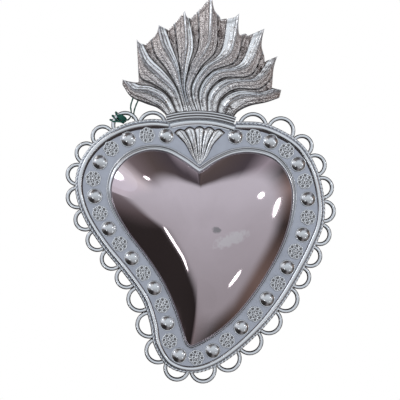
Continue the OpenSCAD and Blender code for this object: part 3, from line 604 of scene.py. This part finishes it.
def make_thread():
    """The green thread, as the CAD's route, twisted from two strands."""
    path = even(thread_path(), THREAD_STEPS)
    rings = wire_rings(path, THREAD_D / 2, sides=12, lobes=2, depth=0.22, turn=14)
    obj = mesh_object("green_thread", *skin(rings))
    dress(obj, green, stands_for=["tag_thread"])


def make_knot_wraps():
    """More turns of the thread, crossed over the knot's first ones."""
    turn = np.linspace(0, 2 * math.pi, 25)
    parts = []
    for angle, half_w, aside in KNOT_WRAPS:
        along, across = polar(1, angle), polar(1, angle + 90)
        flat = (KNOT_MIDDLE[:2] + aside * across + half_w * np.cos(turn)[:, None] * along
                + KNOT_SLANT * np.sin(turn)[:, None] * across)
        path = np.column_stack([flat, KNOT_MIDDLE[2] + KNOT_DEPTH * np.sin(turn)])
        parts.append(skin(wire_rings(path, THREAD_D / 2, sides=8)))
    dress(mesh_object("knot_wraps", *several(parts)), green)


make_thread()
make_knot_wraps()


def dome_rings(inset, rise, count):
    """Rings of the dome from its foot to its top."""
    foot = dome_line - (bezel_widths + SOLDER_GAP + inset)[:, None] * dome_shift
    n = len(foot)
    span = int(n * DOME_SOFTENING)
    soft = sum(np.roll(foot, k, axis=0) for k in range(-span, span + 1)) / (2 * span + 1)
    middle = on_heart([DOME_MIDDLE])[0]
    rings = []
    for k in range(count + 1):
        s = max(math.cos(math.pi / 2 * k / count), DOME_CENTRE)
        ring = middle + s * (soft + (foot - soft) * s**3 - middle)
        rings.append(np.column_stack([ring, np.full(n, BODY_D + rise * (1 - s**DOME_FLATNESS))]))
    return rings


def make_dome():
    """Mirror dome: a hollow shell whose outline softens towards its top."""
    outer = dome_rings(0, DOME_RISE, count=72)
    lining = dome_rings(SHEET_T, DOME_RISE - SHEET_T, count=16)
    obj = mesh_object("mirror_dome", *skin(outer[::-1] + lining))
    dress(obj, mirror, stands_for=["dome"])


def make_bezel():
    """Moulding round the dome's foot, with painted shade at its feet and in the groove between its two
    rounds.
    """
    inward = [0, 0, 0.05, 0.13, 0.21, 0.28, 0.33, 0.4, 0.55, 0.75, 0.93, 1, 1]
    upward = [0, 0.65, 0.92, 1, 0.95, 0.75, 0.45, 0.4, 0.5, 0.72, 0.8, 0.6, 0]
    # Painted shade on each point of the section
    painted_dark = [1, 0.7, 0.1, 0, 0, 0.2, 0.75, 0.7, 0.1, 0, 0, 0.3, 1]
    rings = [[(*(spot - u * width * shift), BODY_D + v * BEZEL_H) for u, v in zip(inward, upward)]
             for spot, width, shift in zip(dome_line, bezel_widths, dome_shift)]
    obj = mesh_object("dome_bezel", *skin(rings, closed=True), {"deep": np.tile(painted_dark, len(rings))})
    dress(obj, polished, stands_for=["bezel"])


def make_strip_and_loops():
    """Scalloped strip: loops of half-round wire on a flat strip, with painted shade along the strip's edges
    and down the wire's sides to where it meets the strip.
    """
    high = GALLERY_HIGH - LOOP_CROWN_H
    strip = [(0, GALLERY_LOW), (STRIP_W, GALLERY_LOW), (STRIP_W, high - STRIP_CHAMFER[1]),
             (STRIP_W - STRIP_CHAMFER[0], high), (0, high)]
    parts = [swept(rim_line, rim_shift, strip)]
    # Painted shade along the strip's edges
    painted_dark = [np.tile([0, 0, 0.7, 0, 0.8], len(rim_line))]
    half, rise = LOOP_WIRE_W / 2, GALLERY_HIGH - GALLERY_LOW
    bend = np.linspace(0, math.pi, 13)
    crown = np.column_stack([half * np.cos(bend), GALLERY_LOW + rise * (0.3 + 0.7 * np.sin(bend) ** 0.8)])
    section = [(-half, GALLERY_LOW), (half, GALLERY_LOW), *crown.tolist()]
    # Painted shade down the wire's sides, off its crown
    edge = [0, 0, *np.clip((0.95 - np.sin(bend)) / 0.3, 0, 1)]
    for k in range(LOOP_N):
        middle, radius, start, end = scallop(k)
        out = polar(1.0, np.linspace(start + LOOP_END_ANGLE, end - LOOP_END_ANGLE, LOOP_STEPS))
        parts.append(swept(middle + (radius - half - LOOP_TRIM) * out, out, section))
        painted_dark.append(np.tile(edge, LOOP_STEPS))
    obj = mesh_object("scallops", *several(parts), {"deep": np.concatenate(painted_dark)})
    dress(obj, pressed, stands_for=["scallop_gallery"])


def make_rim():
    """Half-round roll on the border's edge, painted darker at its feet, with a thin strip inside it painted
    dark as a shadow line, and the twisted wire in the corner outside it.
    """
    bend = np.linspace(0, math.pi, 13)
    roll = np.column_stack([-ROLL_MARGIN - ROLL_W / 2 * (1 - np.cos(bend)),
                            BODY_D + ROLL_H * np.sin(bend) ** ROLL_FULLNESS])
    shadow_strip_w = lookup(SHADOW_STRIP_WIDTHS, rim_shares)
    inner = rim_line - (ROLL_MARGIN + ROLL_W + shadow_strip_w)[:, None] * rim_shift
    outer = rim_line - (ROLL_MARGIN + ROLL_W - SHADOW_STRIP_LAP) * rim_shift
    shadow_strip_top = BODY_D + SHADOW_STRIP_H
    shadow_strip = [[(*b, BODY_D), (*a, BODY_D), (*a, shadow_strip_top), (*b, shadow_strip_top)] for a, b in zip(outer, inner)]
    parts = [swept(rim_line, rim_shift, roll), skin(shadow_strip)]
    # Painted shade at the roll's feet, and the strip painted dark all over as a shadow line
    edge = np.clip(1 - 2.5 * np.sin(bend), 0, 1)
    painted_dark = np.concatenate([np.tile(edge, len(rim_line)), np.ones(4 * len(rim_line))])
    obj = mesh_object("roll", *several(parts), {"deep": painted_dark})
    dress(obj, pressed, stands_for=["rim_roll"])
    line = rim_line + (SOLDER_GAP + ROPE_D / 2) * rim_shift
    path = even(np.column_stack([line, np.full(len(line), WALL_TOP - ROPE_D / 2)]), 1180)
    obj = mesh_object("rope", *skin(wire_rings(path, ROPE_D / 2, sides=18, lobes=3, depth=0.4, turn=18)))
    dress(obj, polished, stands_for=["rim_rope"])


def lathe(profile, steps):
    """Rings of a turned shape, from a profile of radius and height."""
    angles = 360 * np.arange(steps) / steps
    return np.array([np.column_stack([polar(r, angles), np.full(steps, h)]) for r, h in profile])


def row_places():
    """Middles of the studs and rosettes, studs first and last."""
    depth = ROLL_MARGIN + ROLL_W + ROSETTE_D / 2
    line = rim_line - (depth + lookup(ROW_SLACK, rim_shares))[:, None] * rim_shift
    stations = np.array(ROW_STATIONS)
    tightness = np.min(np.diff(stations[:, 1]) / np.diff(stations[:, 0]))
    pairs = int(run(line)[-1] * tightness / ((STUD_D + ROSETTE_D) / 2 + ROW_GAP) / 2)
    return spots(line, lookup(ROW_STATIONS, np.arange(2 * pairs + 1) / (2 * pairs)))


def make_studs():
    """Domed studs, each in a thin collar, with painted shade round the collar's foot and in the groove
    inside it, and lighter painted shade over the ball.
    """
    steps = 40
    out = np.cos(np.linspace(0, STUD_BALL_ANGLE, STUD_BALL_POINTS))
    ball = np.column_stack([STUD_BALL_R * out, STUD_BALL_FOOT + (STUD_H - STUD_BALL_FOOT) * (1 - out**2)])
    rings = lathe([*STUD_LIP, *ball, (STUD_TOP_R, STUD_H)], steps)
    places = row_places()[::2]
    obj = mesh_object("studs", *several([skin(rings + [*place, BODY_D]) for place in places]),
                      {"deep": np.tile(np.repeat(STUD_PAINTED_SHADE, steps), len(places))})
    dress(obj, pressed, stands_for=["domed_studs"])


def curl(middle, radius, wire, level, long, turned):
    """Small closed curl of wire in a rosette; with long above 1 it is drawn out along its turned axis."""
    ring = polar(radius, np.arange(0, 360, 20)) * [long, 1]
    c, s = math.cos(turned), math.sin(turned)
    ring = ring @ np.array([[c, s], [-s, c]]) + middle
    out = shifts(ring[::-1], closed=True)[::-1]
    section = polar(wire, -np.arange(0, 360, 60))
    rings = [np.column_stack([p + section[:, :1] * n, level + section[:, 1]]) for p, n in zip(ring, out)]
    return skin(rings, closed=True)


def make_rosettes():
    """Lacy rosettes: an outer and an inner ring of curls on a disc with a raised edge and a knob, with
    painted shade round the foot, over the disc between the curls and at the knob's foot.
    """
    steps = 24
    rings = lathe(ROSETTE_PROFILE, steps)
    parts, painted_dark = [], []
    for k, place in enumerate(row_places()[1::2]):
        parts.append(skin(rings + [*place, BODY_D]))
        painted_dark.append(np.repeat(ROSETTE_PAINTED_SHADE, steps))
        for count, ring_r, curl_r, level, long, wire in ROSETTE_CURLS:
            for angle in 2 * math.pi * (np.arange(count) + ROSETTE_TURN * k) / count:
                middle = place + ring_r * np.array([math.cos(angle), math.sin(angle)])
                parts.append(curl(middle, curl_r, wire, BODY_D + level, long, angle))
                painted_dark.append(np.zeros(len(parts[-1][0])))
    obj = mesh_object("rosette_row", *several(parts), {"deep": np.concatenate(painted_dark)})
    dress(obj, pressed, stands_for=["rosettes"])


def bent(r, ends, section):
    """Skin of a section along the collar, at a radius and between two angles."""
    out = polar(1.0, np.linspace(ends[1], ends[0], COLLAR_STEPS))
    return swept(COLLAR_MIDDLE + r * out, out, section)


def make_collar():
    """Moulded collar: a band with three raised lines, and a bead under it, with painted shade on the band's
    ledge and beside its lines, and a strip in the groove between band and bead painted dark as shade and
    patina.
    """
    top = COLLAR_BAND_H - BAND_LINE_R
    arc = np.linspace(0, math.pi, 9)
    lines = [(COLLAR_BAND_W * place + BAND_LINE_R * math.cos(a), top + BAND_LINE_R * math.sin(a))
             for place in BAND_LINE_PLACES for a in arc]
    band = [(0, 0), (BAND_FOOT_W, 0), (BAND_FOOT_W, LIP_LEVEL), (COLLAR_BAND_W - LIP_CHAMFER, LIP_LEVEL),
            (COLLAR_BAND_W, LIP_LEVEL + LIP_CHAMFER), (COLLAR_BAND_W, top - LINE_DIP), *lines,
            (0, top - LINE_DIP)]
    # Painted shade beside each raised line and on the band's ledge
    line_painted_shade = [0.9, 0.4, 0, 0, 0, 0, 0, 0.4, 0.9]
    band_painted_shade = [0, 0, 1, 1, 1, 1, *line_painted_shade * len(BAND_LINE_PLACES), 0.5]
    bead = [(BEAD_MIDDLE + BEAD_HALF_W * math.cos(a), BEAD_H * math.sin(a))
            for a in np.linspace(0, math.pi, 17)]
    # Strip in the groove between bead and band, painted dark all over as shade and patina
    groove = [(0, 0), (COLLAR_GROOVE_W, 0), (COLLAR_GROOVE_W, COLLAR_GROOVE_H), (0, COLLAR_GROOVE_H)]
    on_border = [0, FRONT_LEVEL]
    solid = bent(COLLAR_R + COLLAR_GROOVE_W, BAND_ENDS, np.array(band) + on_border)
    obj = mesh_object("band", *solid, {"deep": np.tile(band_painted_shade, COLLAR_STEPS)})
    dress(obj, pressed, stands_for=["collar_band"])
    parts = [bent(COLLAR_R, BEAD_ENDS, np.array(section) + on_border) for section in (bead, groove)]
    # Bead without painted shade; the groove strip painted dark on top
    painted_dark = np.concatenate([np.zeros(len(parts[0][0])), np.tile([0, 0, 1, 1], COLLAR_STEPS)])
    obj = mesh_object("bead", *several(parts), {"deep": painted_dark})
    dress(obj, pressed, stands_for=["collar_bead"])


def make_fan():
    """Fan of round flutes with raised lines between the cleft and the collar, with painted shade in the
    valleys, along the splits and at its upper end.
    """
    columns = FAN_N * FLUTE_COLUMNS
    share = np.linspace(0, 1, FAN_ROWS)[:, None]
    along = np.arange(columns + 1)[None] % FLUTE_COLUMNS / FLUTE_COLUMNS
    swell = np.sin(math.pi * along)
    across = 2 * np.arange(columns + 1)[None] / columns - 1
    widths = smooth(FAN_SPREAD, 6)
    half = FAN_W * np.interp(share, widths[:, 0], widths[:, 1])
    high = share * (FAN_L - FAN_SAG * across**2 - FAN_NOTCH * (1 - swell) * share)
    flat = FAN_POINT + np.stack([half * across, high], axis=2)
    rise = np.sin(math.pi * share**1.5) * (1 - share) + share * np.cos(math.pi / 2 * share**6)
    edges = rise_at(np.abs(along - 0.5), FLUTE_LINE_PLACE, FLUTE_LINE_W)
    split = rise_at(along, 0.5, FLUTE_SPLIT_W)
    flute = FLUTE_SWELL * swell + FLUTE_LINE * edges - FLUTE_SPLIT * split
    height = FAN_EDGE_H + (FAN_H - FAN_EDGE_H) * flute * rise
    # Painted shade at the fan's upper end, in the valleys between the flutes and along their splits
    end = np.clip((share - END_SHADE_FROM) / END_SHADE_L, 0, 1)
    flute_valley_shade = np.clip(VALLEY_SHADE - np.minimum(along, 1 - along) / VALLEY_SHADE_W, 0, 1)
    deep = np.maximum(np.maximum(flute_valley_shade, SPLIT_SHADE * split), end)
    points, faces = relief(np.concatenate([flat, (BODY_D + height)[..., None]], axis=2), BODY_D)
    values = np.concatenate([deep.ravel(), np.zeros(len(points) - deep.size)])
    obj = mesh_object("fan", points, faces, {"deep": values})
    dress(obj, embossed, stands_for=["palmette_fan"])


def flame_lines():
    """Lines of the crest from left to right: its edge, ridges and creases in turn, and its other edge."""
    flows = [smooth(on_crest(p), FLAME_STEPS) for p in TONGUE_RIDGES]
    share = np.linspace(0, 1, len(flows[0]))[:, None]
    creases = [(a + b) / 2 + share**4 * (notch - (a[-1] + b[-1]) / 2)
               for a, b, notch in zip(flows, flows[1:], on_crest(TONGUE_NOTCHES))]
    lines = [smooth(on_crest(CREST_LEFT), FLAME_STEPS)]
    for ridge, crease in zip(flows, [*creases, smooth(on_crest(CREST_RIGHT), FLAME_STEPS)]):
        lines += [ridge, crease]
    return lines


def half_tongue(lines, g):
    """Half a tongue between two lines of the crest: its points, and how much painted shade and how much
    matting each one has.
    """
    halves = len(lines) - 1
    last = g == halves - 1
    inner_side = (g % 2 == 1) == (g < halves / 2)
    share = np.linspace(0, 1, len(lines[g]))[:, None]
    late = np.clip((share - UPPER_FROM) / (1 - UPPER_FROM), 0, 1)
    t = np.arange(FLAME_COLUMNS + last)[None] / FLAME_COLUMNS
    s = 1 - t if g % 2 else t

    rows = np.arange(len(share))
    drawn_in = EDGE_DRAWS.get(g, 0) * DRAW_SCALE * (1 - s) * s**2
    row = (share - drawn_in * share**DRAW_POWER) * rows[-1]
    left, right = [np.stack([np.interp(row, rows, line[:, axis]) for axis in (0, 1)], axis=2)
                   for line in lines[g:g + 2]]
    flat = left + (right - left) * t[..., None]

    valley = EDGE_VALLEY_W if last or g == 0 else VALLEY_W + VALLEY_GROWTH * late**2
    x = np.clip((s - valley) / (1 - valley), 0, 1)
    line_at = LINE_PLACE + LINE_GROWTH * late
    lines_up = (rise_at(x, line_at, LINE_W)
                + SECOND_LINE_SHARE * rise_at(x, line_at + LINE_STEP, SECOND_LINE_W))
    power, line_h = INNER_SIDE if inner_side else OUTER_SIDE
    lift = (FOOT_LIFT * np.clip(x / FOOT_W, 0, 1) + SLOPE_LIFT * x**power
            + CROWN_LIFT * rise_at(x, 1, CROWN_W) + line_h * lines_up)
    waves = WAVE_H * late * np.sin(math.pi * np.clip(WAVE_N * s / valley, 0, WAVE_N)) ** 2
    high = RIDGE_H * lookup(RIDGE_RISE, share)
    low = CREASE_H * lookup(CREASE_RISE, share)
    level = FRONT_LEVEL + low + (high - low) * np.where(s < valley, waves, np.minimum(lift, 1))

    # Painted shade along the creases, beside the lines and the crown, on the valley's floor and under the
    # upper edge
    before_cut = 1 - np.clip((share - CUT_FROM) / CUT_L, 0, 1)
    fold_shade = (rise_at(x, 0, SEAM_SHADE_W - SEAM_SHADE_LOSS * late)
             + LINE_SHADE * rise_at(x, line_at - LINE_SHADE_STEP, LINE_SHADE_W)
             + CROWN_SHADE * rise_at(x, CROWN_SHADE_PLACE, CROWN_SHADE_W))
    valley_floor_shade = FLOOR_SHADE - FLOOR_SHADE_LOSS * late * np.clip((valley - s) / FLOOR_SHADE_W, 0, 1)
    under_edge_shade = EDGE_SHADE * rise_at(share, EDGE_SHADE_PLACE, EDGE_SHADE_L)
    deep = np.maximum(np.where(s < valley, valley_floor_shade, fold_shade), under_edge_shade)
    band = (not inner_side) * ((x > FOOT_W) & (x < BAND_END)) * (LOW_BAND + (1 - LOW_BAND) * late)
    matted = np.where(s < valley, late, band)
    return (np.concatenate([flat, level[..., None]], axis=2), np.clip(deep * before_cut, 0, 1),
            np.clip(matted * before_cut, 0, 1))


def make_flames():
    """Embossed sheet of flame tongues, which narrow upwards between matted valleys, with painted shade in
    its folds, and its backing.
    """
    lines = flame_lines()
    halves = [half_tongue(lines, g) for g in range(len(lines) - 1)]
    grid, deep, matted = [np.concatenate(part, axis=1) for part in zip(*halves)]
    points, faces = relief(grid, FRONT_LEVEL)
    bare = np.zeros(len(points) - deep.size)
    obj = mesh_object("flames", points, faces, {"deep": np.concatenate([deep.ravel(), bare]),
                                                "matted": np.concatenate([matted.ravel(), bare])})
    dress(obj, embossed, stands_for=["flame_front"])
    sheet = grid.copy()
    sheet[..., 2] = FRONT_LEVEL
    tab_w, rear, front = TAB_R[1] - TAB_R[0], BODY_D + SOLDER_GAP / 2, FRONT_LEVEL - SOLDER_GAP / 2
    tab = bent(TAB_R[0], TAB_ENDS, [(0, rear), (tab_w, rear), (tab_w, front), (0, front)])
    obj = mesh_object("crest_sheet", *several([relief(sheet, BODY_D), tab]))
    dress(obj, polished, stands_for=["flame_back"])


make_dome()
make_bezel()
make_strip_and_loops()
make_rim()
make_studs()
make_rosettes()
make_collar()
make_fan()
make_flames()

for name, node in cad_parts.items():
    if not node.hide_render:
        node.data.materials.clear()
        node.data.materials.append(satin if name == "border_plate" else polished)


def panel(name, spot, way, size, radiance, reach=0.6, roll=0.0, colour=(1, 1, 1)):
    """Soft lamp that a spot of the heart sees in a direction, at a reach in metres, turned by a roll."""
    lamp = bpy.data.lights.new(name, "AREA")
    lamp.shape = "ELLIPSE"
    lamp.size, lamp.size_y = size
    lamp.energy = radiance * math.pi**2 * size[0] * size[1] / 4
    lamp.color = colour
    obj = bpy.data.objects.new(name, lamp)
    bpy.context.scene.collection.objects.link(obj)
    start = Vector(upright(spot))
    obj.location = start + reach * Vector(way).normalized()
    turn = (start - obj.location).to_track_quat("-Z", "Y")
    obj.rotation_euler = (turn @ Quaternion((0, 0, 1), math.radians(roll))).to_euler()


# Lamps, with sizes in metres, each where a spot of the heart mirrors it; the left lobe's lamp has a glow
# round it, from wider and wider dim ones
LOBE_SPOT, LOBE_WAY = (-43.5, 37, 8), (-0.74, -0.58, 0.34)
GLOW_N, GLOW_SIZE, GLOW_STEP = 6, np.array([0.09, 0.11]), 0.035
panel("window", (-26, 60, 12), (-0.68, -0.26, 0.68), (0.4, 0.22), 1.6, reach=0.7, roll=30)
panel("lobe_light", LOBE_SPOT, LOBE_WAY, (0.08, 0.09), 4, colour=(0.9, 0.94, 1))
for k in range(GLOW_N):
    panel(f"lobe_glow_{k}", LOBE_SPOT, LOBE_WAY, GLOW_SIZE + GLOW_STEP * k, 0.13, colour=(0.7, 0.85, 1))
panel("cleft_light", (-26.5, 34, 22), (-0.44, -0.73, 0.52), (0.05, 0.03), 6)
panel("right_light", (30.5, 26, 20), (0.6, -0.77, 0.22), (0.05, 0.055), 6)
panel("edge_light", (38.5, 20, 18), (0.79, -0.62, -0.02), (0.035, 0.13), 4)
panel("flank_streak", (-11, -1, 24), (-0.45, -0.84, -0.3), (0.035, 0.1), 5, roll=20)
panel("foot_streak", (17, -14, 22), (0.54, -0.69, -0.49), (0.03, 0.075), 5, roll=-40)

# Studio: white paper for the camera and for matt surfaces, and a room for the metal. Round the heart, from
# -X over -Z, +X and +Z, the room's sides and its rear change their tone. Its bright front reaches round to
# the sides up to a direction's depth, which is given plus 1.
SIDE_TONES = [
    (0, (0.3, 0.28, 0.29)), (0.05, (0.14, 0.12, 0.12)), (0.08, (0.04, 0.035, 0.033)),
    (0.2, (0.03, 0.026, 0.025)), (0.27, (0.3, 0.27, 0.27)), (0.32, (0.04, 0.035, 0.03)),
    (0.4, (0.24, 0.18, 0.15)), (0.46, (0.05, 0.04, 0.035)), (0.53, (0.36, 0.27, 0.23)),
    (0.59, (0.05, 0.045, 0.04)), (0.66, (0.5, 0.48, 0.52)), (0.72, (0.1, 0.09, 0.1)),
    (0.79, (0.14, 0.12, 0.11)), (0.86, (0.26, 0.23, 0.23)), (0.905, (1, 1, 1)), (0.95, (0.9, 0.9, 0.95))]
REAR_TONES = [
    (0, (0.3, 0.3, 0.32)), (0.12, (0.06, 0.06, 0.06)), (0.3, (0.16, 0.15, 0.15)), (0.38, (0.5, 0.48, 0.47)),
    (0.5, (0.2, 0.19, 0.2)), (0.62, (0.75, 0.75, 0.8)), (0.8, (0.4, 0.4, 0.42)), (0.9, (0.8, 0.8, 0.85)),
    (1, (0.3, 0.3, 0.32))]
FRONT_REACH = [
    (0, 0.38), (0.05, 0.27), (0.08, 0.15), (0.2, 0.15), (0.263, 0.25), (0.317, 0.4), (0.37, 0.48),
    (0.45, 0.46), (0.557, 0.36), (0.68, 0.32), (0.75, 0.3), (0.84, 0.21), (0.93, 0.22), (1, 0.38)]
FRONT_LOW, FRONT_HIGH = (0.48, 0.48, 0.49), (0.82, 0.86, 0.9)
world = bpy.data.worlds.new("studio")
bpy.context.scene.world = world
world.use_nodes = True
world.node_tree.nodes.clear()
add = node_adder(world.node_tree)
way = add("ShaderNodeSeparateXYZ", {0: add("ShaderNodeTexCoord").outputs["Generated"]}).outputs
turn = ranged(add, calculated(add, "ARCTAN2", way["Z"], way["X"]), -math.pi, math.pi)
reach = ramp(add, turn, [(at, (depth,) * 3) for at, depth in FRONT_REACH])
off_front = ranged(add, calculated(add, "SUBTRACT", way["Y"], reach), -1.08, -0.92, steps="SMOOTHSTEP")
front = mixed(add, ranged(add, way["Z"], -0.8, 0.5, steps="SMOOTHSTEP"), FRONT_LOW, FRONT_HIGH)
room = mixed(add, off_front, front, ramp(add, turn, SIDE_TONES))
behind = ranged(add, way["Y"], -0.02, 0.3, steps="SMOOTHSTEP")
room = mixed(add, behind, room, ramp(add, turn, REAR_TONES))
studio = add("ShaderNodeBackground", {"Color": room}).outputs["Background"]
paper = add("ShaderNodeBackground", {"Color": (1, 1, 1, 1)}).outputs["Background"]
glossy = add("ShaderNodeLightPath").outputs["Is Glossy Ray"]
both = add("ShaderNodeMixShader", {"Fac": glossy, 1: paper, 2: studio}).outputs["Shader"]
add("ShaderNodeOutputWorld", {"Surface": both})

# Pale floor, under the heart and out of the picture
bpy.ops.mesh.primitive_plane_add(size=0.5, location=(0, -0.1, -0.16))
floor = bpy.context.object
floor.name = "floor"
floor_material, floor_shader, floor_add, floor_link = new_material("floor")
grain = floor_add("ShaderNodeTexNoise", {"Scale": 40}).outputs["Fac"]
floor_link(ramp(floor_add, grain, [(0, (0.78, 0.78, 0.78)), (1, (0.84, 0.84, 0.84))]), "Base Color")
floor_shader.inputs["Roughness"].default_value = 0.8
floor.data.materials.append(floor_material)
floor.visible_glossy = False

bpy.context.scene.view_settings.view_transform = "Standard"

bpy.context.view_layer.update()
